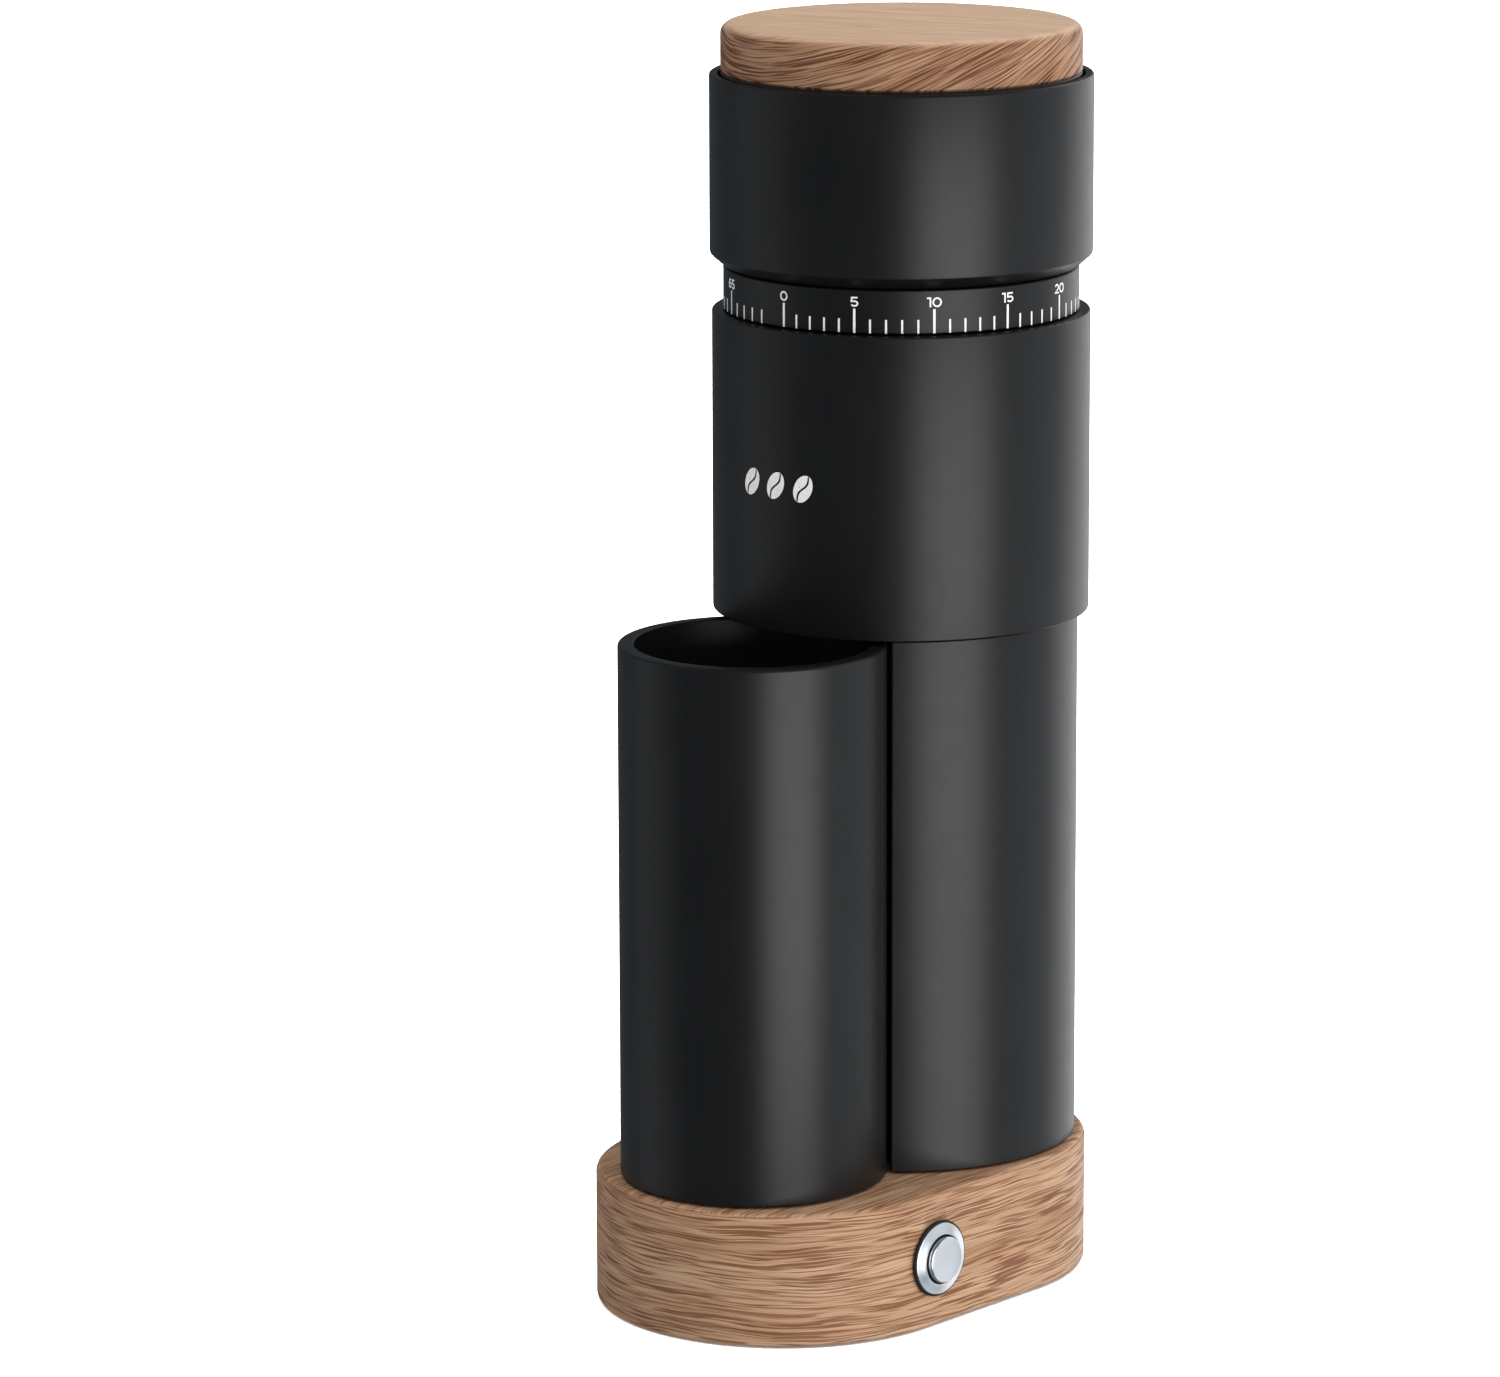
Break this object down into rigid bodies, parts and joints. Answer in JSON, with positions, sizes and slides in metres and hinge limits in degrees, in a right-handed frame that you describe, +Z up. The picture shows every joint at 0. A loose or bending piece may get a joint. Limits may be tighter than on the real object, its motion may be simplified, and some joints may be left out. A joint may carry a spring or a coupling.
{
  "type": "burr coffee grinder",
  "caption": "Rechargeable conical burr coffee grinder: round tower on an oblong wooden base, bean hopper with wooden lid, numbered dial, side cup.",
  "frame": {"origin": "on the burr and tower axis, at the face the grinder stands on", "axes": "+Z up along the burr axis; the cup stands at -X, the push button faces -Y, the charging port faces +X"},
  "size_m": [0.1033, 0.0727, 0.2348],
  "materials": {
    "oak": "fine horizontal grain, matt oil finish",
    "black_coat": "satin black coating on turned aluminium",
    "black_plastic": "moulded, matt",
    "rubber": "matt",
    "silicone": "translucent white, soft",
    "polished_steel": "polished",
    "steel": "machined",
    "gear_steel": "sintered",
    "brass": "machined",
    "board": "green solder mask",
    "cell_wrap": "shrink wrap",
    "magnet": "nickel plated",
    "cable_sleeve": "red sleeve"
  },
  "bodies": {
    "base": {"base_shell": "oak", "bottom_cover": "black_plastic", "foot_pad": "rubber", "cover_screw_1": "steel", "cover_screw_2": "steel", "cover_screw_3": "steel", "base_magnet": "magnet", "battery_cell_1": "cell_wrap", "battery_cell_2": "cell_wrap", "control_board": "board", "charging_port": "steel", "motor_cable": "cable_sleeve", "button_seal": "rubber", "button_bezel": "polished_steel", "button_nut": "steel", "button_switch": "black_plastic", "button_spring": "steel", "tower_tube": "black_coat", "tower_foot": "steel", "tower_screw_1": "steel", "tower_screw_2": "steel", "tower_cap": "steel", "motor_end_cap": "black_plastic", "motor_can": "steel", "motor_magnet_1": "magnet", "motor_magnet_2": "magnet", "ring_gear": "gear_steel", "gearbox_cover": "gear_steel", "gearbox_bearing": "steel", "head_housing": "black_coat", "head_screw_1": "steel", "head_screw_2": "steel", "shaft_bearing": "brass", "guide_ring": "black_plastic", "detent_spring": "steel", "detent_ball": "polished_steel"},
    "button": {"button_cap": "polished_steel"},
    "burr": {"drive_shaft": "steel", "planet_carrier": "steel", "inner_burr": "steel", "burr_bolt": "steel", "sweeper": "steel"},
    "rotor": {"motor_rotor": "steel", "sun_gear": "brass"},
    "planet_1": {"planet_gear_1": "gear_steel"},
    "planet_2": {"planet_gear_2": "gear_steel"},
    "planet_3": {"planet_gear_3": "gear_steel"},
    "dial": {"dial_ring": "black_coat", "hopper_body": "black_coat", "hopper_funnel": "black_plastic", "adjuster_collar": "brass"},
    "burr_holder": {"burr_carrier": "black_plastic", "ring_burr": "steel", "burr_screw_1": "steel", "burr_screw_2": "steel"},
    "lid": {"lid_top": "oak", "lid_plug": "black_plastic", "lid_gasket": "silicone"},
    "cup": {"grounds_cup": "black_coat", "cup_magnet": "magnet"}
  },
  "joints": [
    {"name": "button_press", "type": "slide", "parent": "base", "child": "button", "axis": [0, 1, 0], "range_m": [0, 0.0012], "stiffness_N_per_m": 400, "springref_m": -0.002, "deforming": ["button_spring"]},
    {"name": "burr_spin", "type": "hinge", "parent": "base", "child": "burr", "pos_m": [0, 0, 0.15], "axis": [0, 0, 1], "continuous": true},
    {"name": "motor_spin", "type": "hinge", "parent": "base", "child": "rotor", "pos_m": [0, 0, 0.08], "axis": [0, 0, 1], "continuous": true},
    {"name": "planet_spin_1", "type": "hinge", "parent": "burr", "child": "planet_1", "pos_m": [0.0075, 0, 0.1055], "axis": [0, 0, 1], "continuous": true},
    {"name": "planet_spin_2", "type": "hinge", "parent": "burr", "child": "planet_2", "pos_m": [-0.00375, 0.0065, 0.1055], "axis": [0, 0, 1], "continuous": true},
    {"name": "planet_spin_3", "type": "hinge", "parent": "burr", "child": "planet_3", "pos_m": [-0.00375, -0.0065, 0.1055], "axis": [0, 0, 1], "continuous": true},
    {"name": "dial_turn", "type": "hinge", "parent": "base", "child": "dial", "pos_m": [0, 0, 0.186], "axis": [0, 0, 1], "range_deg": [-350, 0]},
    {"name": "burr_gap", "type": "slide", "parent": "base", "child": "burr_holder", "axis": [0, 0, 1], "range_m": [0, 0.0015]},
    {"name": "lid_lift", "type": "slide", "parent": "dial", "child": "lid", "axis": [0, 0, 1], "range_m": [0, 0.04]},
    {"name": "cup_slide", "type": "slide", "parent": "base", "child": "cup", "axis": [-1, 0, 0], "range_m": [0, 0.08]}
  ],
  "couplings": [
    {"joint": "motor_spin", "follows": "burr_spin", "ratio": 5},
    {"joint": "planet_spin_1", "follows": "burr_spin", "ratio": -2.6667},
    {"joint": "planet_spin_2", "follows": "burr_spin", "ratio": -2.6667},
    {"joint": "planet_spin_3", "follows": "burr_spin", "ratio": -2.6667},
    {"joint": "burr_gap", "follows": "dial_turn", "m_per_rad": -0.000239}
  ]
}
